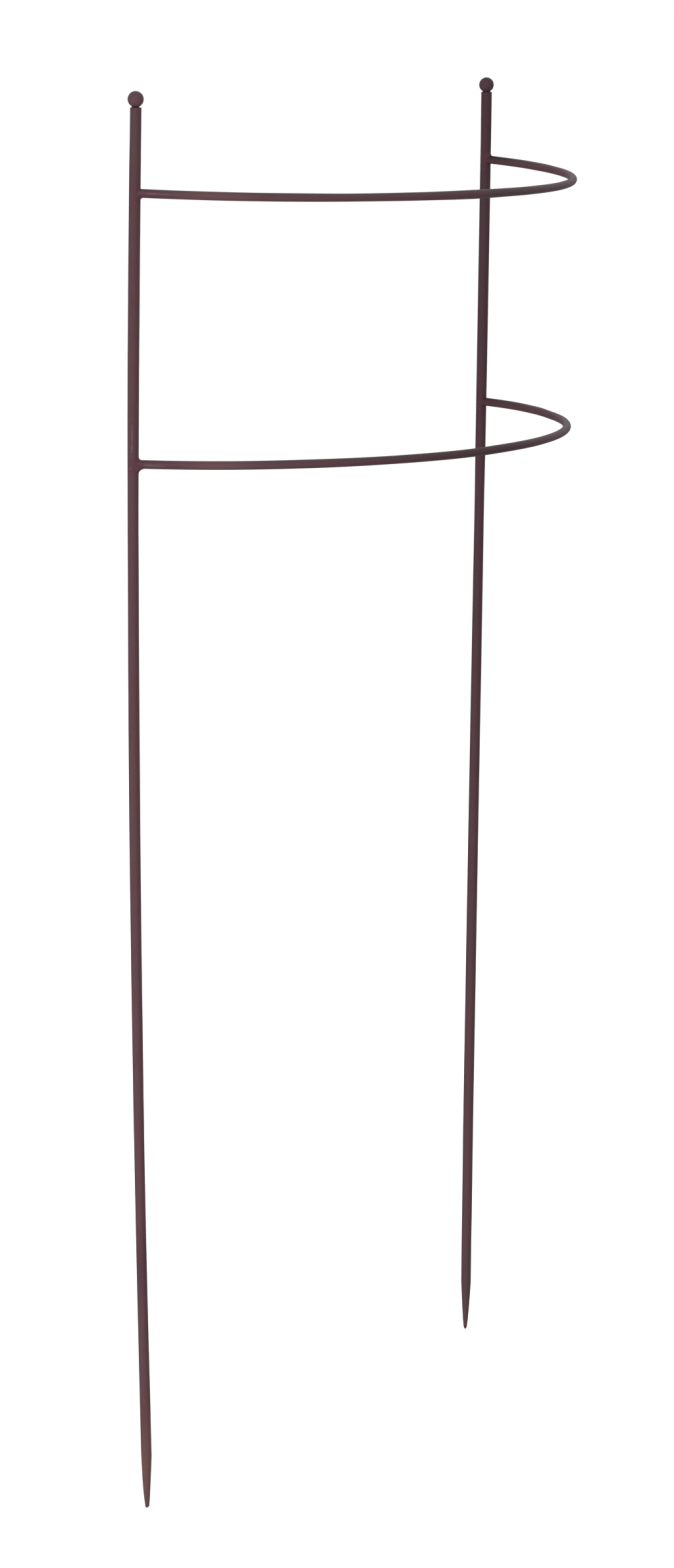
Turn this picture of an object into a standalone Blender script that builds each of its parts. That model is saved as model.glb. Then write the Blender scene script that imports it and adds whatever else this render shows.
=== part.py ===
"""Arched plant support: two pointed stakes, two half-round hoops welded between them, a ball on each stake.

Lengths are in metres. The stakes stand along Z with their points at height 0. X runs from the left stake to
the right one, and the hoops reach out towards -Y. The origin lies midway between the stakes' axes.
"""
import math

import bmesh
import bpy
from mathutils import Matrix, Vector

# Driving dimensions
STAKE_LENGTH = 1.100
STAKE_SPACING = 0.500
HOOP_DIAMETER = 0.0065
HOOP_REACH = 0.1883
GAP = 0.0003

# Forged point at the foot of each stake
POINT_LENGTH = 0.045
POINT_END_DIAMETER = 0.0036
POINT_NOSE_HEIGHT = 0.0020
POINT_FLAT_DIAMETER = 0.0018
POINT_BULGE = 1.4

# Sawn and eased top of each stake, and the weld that carries the ball
TOP_EASE_RISE = 0.0004
TOP_EASE_RUN = 0.0010
FINIAL_WELD_WAIST = 0.0057
FINIAL_WELD_FLARE = 0.0064

# Each stake's side and diameter, how far its foot and its middle stand outside a plumb line, and its ball's
# diameter and height above the stake's top
STAKES = {
    "left": {
        "side": -1, "diameter": 0.0085, "foot_out": -0.0139, "bow_out": 0.0094,
        "ball_diameter": 0.0120, "ball_rise": 0.0068,
    },
    "right": {
        "side": 1, "diameter": 0.0089, "foot_out": 0.0, "bow_out": 0.0,
        "ball_diameter": 0.0124, "ball_rise": 0.0070,
    },
}

# Height of each hoop at its two welds and at its front
HOOPS = {
    "upper": {"left": 1.0381, "right": 1.0438, "front": 1.0366},
    "lower": {"left": 0.8382, "right": 0.8394, "front": 0.8419},
}

# Fillet of each hoop weld: its leg up or down the stake, and its reach out along the hoop
WELDS = {
    ("upper", "left"): {"up": 0.0007, "up_reach": 0.0008, "down": 0.0020, "down_reach": 0.0026},
    ("upper", "right"): {"up": 0.0030, "up_reach": 0.0018, "down": 0.0008, "down_reach": 0.0010},
    ("lower", "left"): {"up": 0.0026, "up_reach": 0.0021, "down": 0.0037, "down_reach": 0.0049},
    ("lower", "right"): {"up": 0.0009, "up_reach": 0.0010, "down": 0.0012, "down_reach": 0.0012},
}
WELD_SIDE_LEG = 0.0010
WELD_SIDE_REACH = 0.0014
WELD_LIP = 0.0002
WELD_HOLLOW = 1.4

# Fineness of the curved surfaces, and the distances within which points count as one
SHAFT_STATIONS = 22
POINT_STATIONS = 8
NOSE_STATIONS = 3
HOOP_STATIONS = 48
ROD_SIDES = 16
WELD_SIDES = 32
WELD_STATIONS = 6
TURN_STEPS = 24
DISH_STATIONS = 5
BALL_SEGMENTS = 24
BALL_RINGS = 16
SMOOTH_ANGLE = math.radians(35)
SLOPE_STEP = 0.001
MERGE_DISTANCE = 1e-6
TURN_MERGE_DISTANCE = 1e-5

# Coat of paint: colour, then roughness and metallic value
STAKE_COAT = ((0.115, 0.060, 0.064), 0.42, 0.15)
HOOP_COAT = ((0.125, 0.066, 0.068), 0.40, 0.15)
BALL_COAT = ((0.105, 0.056, 0.062), 0.45, 0.15)
WELD_COAT = ((0.090, 0.046, 0.050), 0.55, 0.15)

HOOP_RADIUS = HOOP_DIAMETER / 2
UP = Vector((0, 0, 1))


def clear_scene():
    for obj in list(bpy.data.objects):
        bpy.data.objects.remove(obj, do_unlink=True)


def new_collection(name):
    collection = bpy.data.collections.new(name)
    bpy.context.scene.collection.children.link(collection)
    return collection


def add_object(name, data, collection):
    obj = bpy.data.objects.new(name, data)
    collection.objects.link(obj)
    return obj


def paint(obj, coat):
    colour, roughness, metallic = coat
    material = bpy.data.materials.new(obj.name + "_coat")
    material.use_nodes = True
    shader = material.node_tree.nodes["Principled BSDF"]
    shader.inputs["Base Color"].default_value = (*colour, 1)
    shader.inputs["Roughness"].default_value = roughness
    shader.inputs["Metallic"].default_value = metallic
    obj.data.materials.append(material)


def smooth(mesh):
    mesh.shade_smooth()
    mesh.set_sharp_from_angle(angle=SMOOTH_ANGLE)


def stake_radius(side_name):
    return STAKES[side_name]["diameter"] / 2


def ball_radius(side_name):
    return STAKES[side_name]["ball_diameter"] / 2


def stake_axis(side_name, height):
    """Point on a stake's axis: a plumb line, drawn in at the foot and bowed in the middle."""
    stake = STAKES[side_name]
    along = height / STAKE_LENGTH
    outward = stake["foot_out"] * (1 - along) + stake["bow_out"] * 4 * along * (1 - along)
    return Vector((stake["side"] * (STAKE_SPACING / 2 + outward), 0, height))


def stake_direction(side_name, height):
    """Unit vector up a stake's axis."""
    above = stake_axis(side_name, height + SLOPE_STEP)
    below = stake_axis(side_name, height - SLOPE_STEP)
    return (above - below).normalized()


def stake_profile(side_name):
    """Heights and radii up a stake: blunt nose, bulging taper, plain shaft and eased top."""
    flat = POINT_FLAT_DIAMETER / 2
    end = POINT_END_DIAMETER / 2
    full = stake_radius(side_name)
    rows = [(0.0, flat)]
    for i in range(1, NOSE_STATIONS + 1):
        turn = math.pi / 2 * i / NOSE_STATIONS
        rows.append((POINT_NOSE_HEIGHT * (1 - math.cos(turn)), flat + (end - flat) * math.sin(turn)))
    for i in range(1, POINT_STATIONS + 1):
        along = i / POINT_STATIONS
        height = POINT_NOSE_HEIGHT + (POINT_LENGTH - POINT_NOSE_HEIGHT) * along
        rows.append((height, end + (full - end) * (1 - (1 - along) ** POINT_BULGE)))
    shaft_top = STAKE_LENGTH - TOP_EASE_RISE
    for i in range(1, SHAFT_STATIONS + 1):
        rows.append((POINT_LENGTH + (shaft_top - POINT_LENGTH) * i / SHAFT_STATIONS, full))
    rows.append((STAKE_LENGTH, full - TOP_EASE_RUN))
    return rows


def rod_curve(name, points, radii, collection):
    """Round rod along a row of points, with its own radius at each and with filled ends."""
    widest = max(radii)
    curve = bpy.data.curves.new(name, "CURVE")
    curve.dimensions = "3D"
    curve.bevel_depth = widest
    curve.bevel_resolution = (ROD_SIDES - 4) // 2
    curve.use_fill_caps = True
    spline = curve.splines.new("POLY")
    spline.points.add(len(points) - 1)
    spline.use_smooth = True
    for knot, point, radius in zip(spline.points, points, radii):
        knot.co = (*point, 1)
        knot.radius = radius / widest
    return add_object(name, curve, collection)


def curve_to_mesh(obj):
    """Turn a rod into a closed mesh, so that it can be cut or can cut."""
    evaluated = obj.evaluated_get(bpy.context.evaluated_depsgraph_get())
    mesh = bpy.data.meshes.new_from_object(evaluated)
    edit = bmesh.new()
    edit.from_mesh(mesh)
    bmesh.ops.remove_doubles(edit, verts=edit.verts, dist=MERGE_DISTANCE)
    edit.to_mesh(mesh)
    edit.free()
    name, collection, place = obj.name, obj.users_collection[0], obj.matrix_world.copy()
    bpy.data.objects.remove(obj, do_unlink=True)
    mesh.name = name
    solid = add_object(name, mesh, collection)
    solid.matrix_world = place
    return solid


def cut(obj, cutter):
    modifier = obj.modifiers.new("cut_" + cutter.name, "BOOLEAN")
    modifier.operation = "DIFFERENCE"
    modifier.solver = "EXACT"
    modifier.object = cutter


def as_cutter(obj):
    obj.hide_render = True
    obj.display_type = "WIRE"
    return obj


def make_stake(side_name, collection):
    rows = stake_profile(side_name)
    points = [stake_axis(side_name, height) for height, _ in rows]
    stake = rod_curve(side_name + "_stake", points, [radius for _, radius in rows], collection)
    paint(stake, STAKE_COAT)


def make_stake_cutter(side_name, collection):
    """The stake's shaft with the welding gap around it."""
    points = [stake_axis(side_name, height) for height, _ in stake_profile(side_name)]
    radii = [stake_radius(side_name) + GAP] * len(points)
    rod = rod_curve(side_name + "_stake_clearance", points, radii, collection)
    return as_cutter(curve_to_mesh(rod))


def hoop_points(level):
    """Centre line of a hoop: an arc from stake to stake, in a plane set by its three heights."""
    heights = HOOPS[level]
    left = stake_axis("left", heights["left"])
    right = stake_axis("right", heights["right"])
    middle = (left + right) / 2
    half_chord = (right.x - left.x) / 2
    radius = (half_chord ** 2 + HOOP_REACH ** 2) / (2 * HOOP_REACH)
    half_angle = math.atan2(half_chord, radius - HOOP_REACH)
    points = []
    for i in range(HOOP_STATIONS + 1):
        angle = half_angle * (2 * i / HOOP_STATIONS - 1)
        across = radius * math.sin(angle)
        out = radius * math.cos(angle) - (radius - HOOP_REACH)
        rise = (right.z - left.z) * across / (2 * half_chord)
        dip = (heights["front"] - middle.z) * out / HOOP_REACH
        points.append(Vector((middle.x + across, -out, middle.z + rise + dip)))
    return points


def make_hoop(level, stake_cutters, collection):
    """Hoop of round bar, its two ends coped to sit against the stakes."""
    points = hoop_points(level)
    rod = rod_curve(level + "_hoop", points, [HOOP_RADIUS] * len(points), collection)
    hoop = curve_to_mesh(rod)
    smooth(hoop.data)
    for cutter in stake_cutters.values():
        cut(hoop, cutter)
    paint(hoop, HOOP_COAT)


def bead_section(leg, reach):
    """Closed section of a bead, as pairs of distances off the hoop's and off the stake's surface."""
    edge = GAP + WELD_LIP
    section = []
    for i in range(WELD_STATIONS + 1):
        along = i / WELD_STATIONS
        off_hoop = edge + (leg - edge) * (1 - along) ** WELD_HOLLOW
        off_stake = edge + (reach - edge) * along ** WELD_HOLLOW
        section.append((off_hoop, off_stake))
    return section + [(GAP, reach), (GAP, GAP), (leg, GAP)]


def bead_section_at(angle, fillet):
    """The bead's section at an angle round the hoop: its sides blend into its top and its bottom."""
    share = math.sin(angle) ** 2
    end = "up" if math.sin(angle) > 0 else "down"
    leg = WELD_SIDE_LEG + (fillet[end] - WELD_SIDE_LEG) * share
    reach = WELD_SIDE_REACH + (fillet[end + "_reach"] - WELD_SIDE_REACH) * share
    return bead_section(leg, reach)


def way_out(spread, rise, lean, distance):
    """How far along the hoop a line beside its axis runs before it is at a distance from the stake's axis."""
    aside = Vector((0, spread, rise))
    aside -= lean * aside.dot(lean)
    ahead = Vector((1, 0, 0)) - lean * lean.x
    half = ahead.dot(aside)
    square = ahead.length_squared
    return (math.sqrt(half ** 2 - square * (aside.length_squared - distance ** 2)) - half) / square


def bead_ring(edit, index, fillet, lean, radius):
    """One ring of a bead round the hoop, through the same corner of the section at every angle."""
    ring = bmesh.ops.create_circle(edit, segments=WELD_SIDES, radius=1)["verts"]
    for vert in ring:
        angle = math.atan2(vert.co.y, vert.co.x)
        off_hoop, off_stake = bead_section_at(angle, fillet)[index]
        spread = (HOOP_RADIUS + off_hoop) * math.cos(angle)
        rise = (HOOP_RADIUS + off_hoop) * math.sin(angle)
        vert.co = (way_out(spread, rise, lean, radius + off_stake), spread, rise)
    return list({edge for vert in ring for edge in vert.link_edges})


def bead_mesh(name, fillet, lean, radius):
    """Saddle-shaped fillet round the hoop's end, along X, seated on a stake that leans in its frame."""
    edit = bmesh.new()
    corners = len(bead_section(WELD_SIDE_LEG, WELD_SIDE_REACH))
    rings = [bead_ring(edit, index, fillet, lean, radius) for index in range(corners)]
    for near, far in zip(rings, rings[1:] + rings[:1]):
        bmesh.ops.bridge_loops(edit, edges=near + far)
    bmesh.ops.recalc_face_normals(edit, faces=edit.faces)
    mesh = bpy.data.meshes.new(name)
    edit.to_mesh(mesh)
    edit.free()
    smooth(mesh)
    return mesh


def bead_place(level, side_name):
    """Frame of a joint: X leaves the stake along the hoop, Z points up."""
    points = hoop_points(level)
    start, after = (points[0], points[1]) if side_name == "left" else (points[-1], points[-2])
    along = (after - start).normalized()
    across = UP.cross(along).normalized()
    upward = along.cross(across)
    return Matrix.Translation(start) @ Matrix((along, across, upward)).transposed().to_4x4()


def make_hoop_weld(level, side_name, collection):
    name = level + "_" + side_name + "_weld"
    place = bead_place(level, side_name)
    lean = place.to_3x3().inverted() @ stake_direction(side_name, HOOPS[level][side_name])
    mesh = bead_mesh(name, WELDS[level, side_name], lean, stake_radius(side_name))
    weld = add_object(name, mesh, collection)
    weld.matrix_world = place
    paint(weld, WELD_COAT)


def finial_place(side_name):
    """Frame of a stake's top: origin on the sawn face, Z along the stake."""
    direction = stake_direction(side_name, STAKE_LENGTH)
    turn = UP.rotation_difference(direction).to_matrix().to_4x4()
    return Matrix.Translation(stake_axis(side_name, STAKE_LENGTH)) @ turn


def finial_weld_profile(side_name):
    """Half section of the weld under a ball: dished to the ball, flared at its rim, waisted, flat below."""
    ball_rise = STAKES[side_name]["ball_rise"]
    hollow = ball_radius(side_name) + GAP
    rim = FINIAL_WELD_FLARE / 2
    points = []
    for i in range(DISH_STATIONS + 1):
        radius = rim * i / DISH_STATIONS
        points.append((radius, ball_rise - math.sqrt(hollow ** 2 - radius ** 2)))
    waist = (points[-1][1] + GAP) / 2
    points.append((FINIAL_WELD_WAIST / 2, waist))
    points.append((FINIAL_WELD_WAIST / 2, GAP))
    points.append((0, GAP))
    return points


def make_finial_weld(side_name, collection):
    name = side_name + "_finial_weld"
    edit = bmesh.new()
    row = [edit.verts.new((radius, 0, height)) for radius, height in finial_weld_profile(side_name)]
    for first, second in zip(row, row[1:]):
        edit.edges.new((first, second))
    mesh = bpy.data.meshes.new(name)
    edit.to_mesh(mesh)
    edit.free()
    weld = add_object(name, mesh, collection)
    weld.matrix_world = finial_place(side_name)
    turn = weld.modifiers.new("turn", "SCREW")
    turn.axis = "Z"
    turn.angle = math.tau
    turn.steps = TURN_STEPS
    turn.render_steps = TURN_STEPS
    turn.use_merge_vertices = True
    turn.merge_threshold = TURN_MERGE_DISTANCE
    turn.use_smooth_shade = True
    paint(weld, WELD_COAT)


def make_ball(side_name, collection):
    name = side_name + "_ball"
    radius = ball_radius(side_name)
    edit = bmesh.new()
    bmesh.ops.create_uvsphere(edit, u_segments=BALL_SEGMENTS, v_segments=BALL_RINGS, radius=radius)
    mesh = bpy.data.meshes.new(name)
    edit.to_mesh(mesh)
    edit.free()
    smooth(mesh)
    ball = add_object(name, mesh, collection)
    ball.matrix_world = finial_place(side_name) @ Matrix.Translation((0, 0, STAKES[side_name]["ball_rise"]))
    paint(ball, BALL_COAT)


def main():
    clear_scene()
    support = new_collection("arched_plant_support")
    cutters = new_collection("cutters")
    stake_cutters = {side_name: make_stake_cutter(side_name, cutters) for side_name in STAKES}
    for side_name in STAKES:
        make_stake(side_name, support)
        make_finial_weld(side_name, support)
        make_ball(side_name, support)
    for level in HOOPS:
        make_hoop(level, stake_cutters, support)
        for side_name in STAKES:
            make_hoop_weld(level, side_name, support)


main()
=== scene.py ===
"""Arched plant support in its finish: coated bars, forged points, welds and balls, in a pale studio."""
import math

import bmesh
import bpy
from mathutils import Matrix, Vector, noise


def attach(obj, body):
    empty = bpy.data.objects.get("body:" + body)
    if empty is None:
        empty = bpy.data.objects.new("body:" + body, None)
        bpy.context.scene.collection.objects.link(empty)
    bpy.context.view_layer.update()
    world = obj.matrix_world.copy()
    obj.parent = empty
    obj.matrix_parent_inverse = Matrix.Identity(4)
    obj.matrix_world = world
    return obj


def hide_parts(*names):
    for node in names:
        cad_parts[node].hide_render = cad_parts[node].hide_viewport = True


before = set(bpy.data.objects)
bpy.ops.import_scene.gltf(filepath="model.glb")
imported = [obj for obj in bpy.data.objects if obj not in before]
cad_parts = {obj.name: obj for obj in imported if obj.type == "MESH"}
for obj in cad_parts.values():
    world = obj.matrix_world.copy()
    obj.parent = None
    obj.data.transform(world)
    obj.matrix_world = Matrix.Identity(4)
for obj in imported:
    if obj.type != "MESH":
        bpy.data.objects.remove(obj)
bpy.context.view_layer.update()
scene = bpy.context.scene
MM = 0.001

# Bars, at the sizes of the solids. A stake's foot and bow are how far they stand outside a plumb line.
STAKE_LENGTH = 1.100
STAKE_SPACING = 0.500
HOOP_RADIUS = 3.25 * MM
HOOP_REACH = 0.1883
STAKES = {
    "left": {
        "side": -1, "radius": 4.25 * MM, "foot_out": -0.0139, "bow_out": 0.0094, "top": 1.1002,
        "ball_radius": 6.02 * MM, "ball_rise": 5.97 * MM, "ball_aside": (0.08 * MM, -0.12 * MM),
        "neck": 2.70 * MM,
    },
    "right": {
        "side": 1, "radius": 4.45 * MM, "foot_out": 0.0, "bow_out": 0.0, "top": 1.1005,
        "ball_radius": 6.23 * MM, "ball_rise": 6.15 * MM, "ball_aside": (-0.60 * MM, 0.0),
        "neck": 2.76 * MM,
    },
}
HOOPS = {
    "upper": {"left": 1.0381, "right": 1.0438, "front": 1.0366},
    "lower": {"left": 0.8382, "right": 0.8394, "front": 0.8419},
}

# How far a skin is set in, so that its small unevenness stays within the nominal size
SKIN = 0.07 * MM

# Hand-made unevenness: places along a bar, and how much there in mm. A place is the height up a stake or
# the share along a hoop. The coat builds up on every bar, a stake strays one way or back, and a hoop rises.
COAT_BUILD = {
    "left": [
        (0.05, 0.04), (0.10, 0.04), (0.16, -0.07), (0.28, -0.15), (0.40, 0), (0.62, 0.11), (0.72, -0.02),
        (0.80, -0.06), (0.88, 0.13), (0.95, 0.18), (1.03, 0.17), (1.09, 0.04),
    ],
    "right": [
        (0.05, 0.04), (0.10, 0.07), (0.20, 0.15), (0.35, 0.16), (0.50, 0.06), (0.60, 0), (0.68, -0.12),
        (0.75, -0.26), (0.81, 0), (0.88, 0.08), (1.00, 0.08), (1.06, 0.04), (1.09, 0.10),
    ],
    "upper": [
        (0, 0.12), (0.08, 0.06), (0.16, -0.03), (0.25, -0.17), (0.32, -0.03), (0.40, 0.25), (0.47, 0.04),
        (0.60, -0.06), (0.82, -0.03), (0.88, 0.16), (1, 0.16),
    ],
    "lower": [
        (0, 0.13), (0.12, 0.10), (0.20, 0.13), (0.30, 0), (0.40, 0), (0.45, 0.06), (0.58, -0.02),
        (0.65, 0.05), (0.82, 0.05), (0.88, 0.19), (1, 0.27),
    ],
}
STAKE_DRIFT = {
    "left": [
        (0, -0.62), (0.015, -0.62), (0.05, -0.10), (0.10, 0.04), (0.30, 0.09), (0.40, 0.20), (0.60, 0.12),
        (0.74, 0.05), (0.80, -0.10), (0.90, -0.08), (0.97, 0.04), (1.04, 0.15), (1.10, 0.30),
    ],
    "right": [
        (0, 0.75), (0.02, 0.75), (0.10, 0.40), (0.22, 0), (0.45, -0.10), (0.65, 0), (0.88, 0.11),
        (1.06, 0.05), (1.10, -0.10),
    ],
}
DRIFT_WAY = Vector((0.545, -0.838, 0))
HOOP_RISE = {
    "upper": [
        (0, 0), (0.10, 0.03), (0.20, 0.17), (0.32, 0.32), (0.45, 0.22), (0.50, 0), (0.60, -0.40),
        (0.70, -0.45), (0.82, -0.25), (0.88, 0.03), (0.94, 0.33), (1, 0.55),
    ],
    "lower": [
        (0, 0.05), (0.10, 0.03), (0.20, 0.21), (0.30, 0.14), (0.40, -0.05), (0.46, 0.20), (0.55, 0.05),
        (0.65, -0.10), (0.75, -0.40), (0.82, -0.58), (0.88, 0), (0.94, 0.33), (1, 0.38),
    ],
}

# Skin of a bar: marks drawn out along it and small lumps
DRAW_MARK_SIZE = 6 * MM
DRAW_MARK_HEIGHT = 0.035 * MM
DRAW_MARK_SQUEEZE = 0.25
LUMP_SIZE = 2.2 * MM
STAKE_LUMP_HEIGHT = 0.018 * MM
HOOP_LUMP_HEIGHT = 0.006 * MM

# Forged point, in mm: the radius where its nose ends, that of its flat, and the nose's start and height.
# Bulge and shoulder shape the taper, cone the nose, and slant is how far the nose leans.
POINTS = {
    "left": {
        "end": 1.70, "flat": 0.90, "start": 0.8, "nose": 1.4,
        "bulge": 1.2, "shoulder": 0.20, "cone": 1, "slant": 0.35,
    },
    "right": {
        "end": 1.65, "flat": 0.05, "start": 0.0, "nose": 3.2,
        "bulge": 1.1, "shoulder": 0.15, "cone": 1.8, "slant": 0,
    },
}
POINT_LENGTH = 45 * MM
POINT_SHOULDER_BULGE = 6
POINT_SLANT_HEIGHT = 6 * MM
DENT_SIZE = 2.6 * MM
DENT_DEPTH = 0.20 * MM
DENT_SQUEEZE = 0.3
DENT_START = 4 * MM

# Eased top edge of a stake, and how its rounding is shared out below and above
TOP_EASE_RISE = 0.4 * MM
TOP_EASE_RUN = 1.0 * MM
TOP_ROUND = 0.12 * MM
TOP_ROUND_BELOW = 0.4
TOP_ROUND_ABOVE = 0.3

# Weld beads, in mm: legs up and down the stake and to its near and far side, and reach along the hoop
BEADS = {
    ("upper", "left"): {
        "up": 0.7, "down": 2.7, "near": 1.2, "far": 1.5, "reach_up": 0.9, "reach_down": 3.5,
    },
    ("upper", "right"): {
        "up": 4.2, "down": 0.7, "near": 5.2, "far": 1.6, "reach_up": 4.1, "reach_down": 1.0,
    },
    ("lower", "left"): {
        "up": 2.4, "down": 4.6, "near": 1.9, "far": 1.4, "reach_up": 2.5, "reach_down": 5.9,
    },
    ("lower", "right"): {
        "up": 0.9, "down": 1.0, "near": 2.6, "far": 1.6, "reach_up": 1.0, "reach_down": 1.1,
    },
}
BEAD_SIDE_REACH = 1.3

# Section of a bead: its sunk toe and crest, how far its face is filled, its ripples and how its legs wander
BEAD_TOE_DEPTH = 0.20 * MM
BEAD_CREST_TUCK = 0.94
BEAD_FILL = 0.17
BEAD_RIPPLE_HEIGHT = 0.10 * MM
BEAD_RIPPLES = 9
BEAD_RIPPLE_TWIST = 2.4
BEAD_UNEVENNESS = 0.22
BEAD_WANDER = 1.3
BEAD_WANDER_APART = 40
BEAD_LUMP_SIZE = 1.6 * MM
BEAD_LUMP_HEIGHT = 0.10 * MM
BEAD_SUNK_FOOT = 0.6
BEAD_SUNK_CAP = 0.5

# Weld under a ball: how far it spreads and sinks at its foot and its tip, and its lumps
NECK_FOOT_SINK = 0.6 * MM
NECK_FOOT_SPREAD = 0.35 * MM
NECK_FOOT_EDGE = 0.3 * MM
NECK_FLARE = 0.25 * MM
NECK_RIM = 0.4 * MM
NECK_TIP_INSET = 0.2 * MM
NECK_TIP_SINK = 0.3 * MM
NECK_LUMP_SIZE = 1.5 * MM
NECK_LUMP_HEIGHT = 0.16 * MM
NECK_SKIN_SHARE = 0.9

# Lumps of a ball: size and height
BALL_LUMPS = [(3.5 * MM, 0.05 * MM), (1.4 * MM, 0.015 * MM)]

# Spatter round a weld: height on the stake, direction round it in degrees from +X, then half width, half
# length and lift in mm. A drop is half as thick as it is wide, and its middle is sunk a little in the skin.
# The drops' pale coat is a painted highlight on them, and the long thin drop at 0.8590 is itself a painted
# highlight line.
SPATTER = {
    "left": [
        (0.8482, -161, 0.66, 0.66, 0), (0.8512, -157, 0.42, 2.3, 0), (0.8590, -155, 0.34, 5.6, 0),
        (0.8660, -153, 0.16, 2.4, 0), (0.8449, -146, 0.24, 0.5, 0), (0.8353, -178, 0.50, 0.6, 0),
        (0.8353, -100, 0.56, 0.50, 1.0), (0.8343, -112, 0.46, 0.40, 0.7), (0.8301, -160, 0.22, 0.3, 0),
        (1.0312, -140, 0.26, 0.3, 0), (1.0455, -150, 0.22, 0.3, 0), (1.0290, -122, 0.24, 0.3, 0),
    ],
    "right": [
        (0.8391, 174, 0.36, 0.36, 0), (0.8362, 168, 0.34, 0.34, 0), (0.8338, -170, 0.24, 0.40, 0),
        (1.0478, 172, 0.24, 0.3, 0), (1.0362, -160, 0.20, 0.3, 0),
    ],
}
SPATTER_THICKNESS = 0.5
SPATTER_SINK = 0.1

# Painted highlight streaks on the hoops by the left stake, as thin pale drops on the skin: share along,
# degrees round the bar, and width and length in mm
HOOP_HIGHLIGHT_DROPS = {
    "upper": [(0.0215, 4, 1.10, 8.0), (0.0340, 2, 0.60, 11.0)],
    "lower": [(0.0262, -10, 0.80, 18.0), (0.0190, 4, 0.36, 7.0)],
}
HIGHLIGHT_DROP_LIFT = 0.10 * MM

# Fineness of the meshes
STAKE_SIDES = 48
NOSE_STEPS = 8
TAPER_STEPS = 30
SHAFT_STEPS = 380
HOOP_SIDES = 40
HOOP_STEPS = 420
BEAD_SIDES = 72
BEAD_STEPS = 14
NECK_SIDES = 64
NECK_STEPS = 8
BALL_FINENESS = 6
SPATTER_FINENESS = 3
HIGHLIGHT_DROP_FINENESS = 4
MERGE_DISTANCE = 1e-7

# Tones of the coat, each as its base, its redder and its greyer colour
PLUM = ((0.103, 0.048, 0.060), (0.110, 0.039, 0.047), (0.094, 0.062, 0.059))
# The right stake's coat: the plum made darker as painted shade
SHADED_PLUM = ((0.069, 0.031, 0.041), (0.076, 0.027, 0.034), (0.063, 0.040, 0.041))
UPPER_PLUM = ((0.103, 0.049, 0.058), (0.114, 0.040, 0.048), (0.090, 0.058, 0.054))
LOWER_PLUM = ((0.096, 0.044, 0.054), (0.106, 0.036, 0.044), (0.083, 0.051, 0.049))
BALL_PLUM = ((0.124, 0.057, 0.070), (0.132, 0.046, 0.056), (0.100, 0.060, 0.062))
BEAD_PLUM = ((0.092, 0.036, 0.045), (0.104, 0.030, 0.038), (0.080, 0.044, 0.043))
# Near-black coat of the weld under each ball: painted shade in the crevice between ball and stake
NECK_SHADE_PLUM = ((0.034, 0.015, 0.019), (0.038, 0.014, 0.017), (0.029, 0.016, 0.019))
# Pale coat of the spatter: painted highlight on the drops
SPATTER_HIGHLIGHT_PLUM = ((0.200, 0.120, 0.130), (0.190, 0.090, 0.100), (0.170, 0.125, 0.120))
# Pale coat of the drops on the hoops: painted highlight
HIGHLIGHT_PLUM = ((0.172, 0.098, 0.106), (0.180, 0.085, 0.094), (0.160, 0.112, 0.104))

# Single tones that the coat takes in places
# Painted sheen on the left stake's point: brown on its front and tan all round
BROWN_SHEEN = (0.158, 0.070, 0.048)
TAN_SHEEN = (0.144, 0.074, 0.064)
RED_PLUM = (0.112, 0.035, 0.048)
DULL_PLUM = (0.070, 0.033, 0.044)
# Painted light: the right stake lighter towards its foot and darker towards its top
LOWER_LIGHT_PLUM = (0.112, 0.052, 0.061)
FOOT_GREY = (0.070, 0.050, 0.046)
TIP_GREY = (0.072, 0.048, 0.056)
TIP_DARK = (0.034, 0.020, 0.027)
# Maroon: a band on the right stake at each joint, and painted shade on the hoops and beads by the right
# stake
MAROON_BAND_AND_SHADE = (0.080, 0.026, 0.035)
# Painted sheen: a lighter rose on each hoop by the left stake
ROSE_SHEEN = (0.145, 0.066, 0.072)
# Painted shade on the middle of each hoop, where it bulges forward
UPPER_FRONT_SHADE = (0.078, 0.039, 0.044)
LOWER_FRONT_SHADE = (0.058, 0.024, 0.032)
BEND_PURPLE = (0.074, 0.020, 0.056)
BEND_RED = (0.104, 0.010, 0.028)
# Painted shade on the upper side of a hoop by its right end
PAINTED_TOP_SHADE = (0.032, 0.006, 0.015)
# Painted shade on the right ball
RIGHT_BALL_SHADE = (0.060, 0.031, 0.044)

# How a coat's mottling is drawn out: along a stake, along a hoop or not at all
UPRIGHT = (1, 1, 0.3)
LEVEL = (0.45, 1, 1)
EVEN = (1, 1, 1)

# What both hoops share: patches at their ends and in the right bend, among them a painted sheen by the left
# stake and painted shade by the right one, and a glossier start by the left stake
HOOP_END_PATCHES = [
    ("X", -0.232, 0.026, 0.9, ROSE_SHEEN), ("X", -0.250, 0.016, 0.4, BEAD_PLUM[0]),
    ("X", 0.090, 0.085, 0.75, BEND_PURPLE), ("X", 0.187, 0.060, 0.8, BEND_RED),
    # Painted shade on the hoop by the right stake
    ("X", 0.250, 0.040, 0.8, MAROON_BAND_AND_SHADE),
]
HOOP_STREAK = (-0.2455, -0.2415, 0.6)
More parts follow.
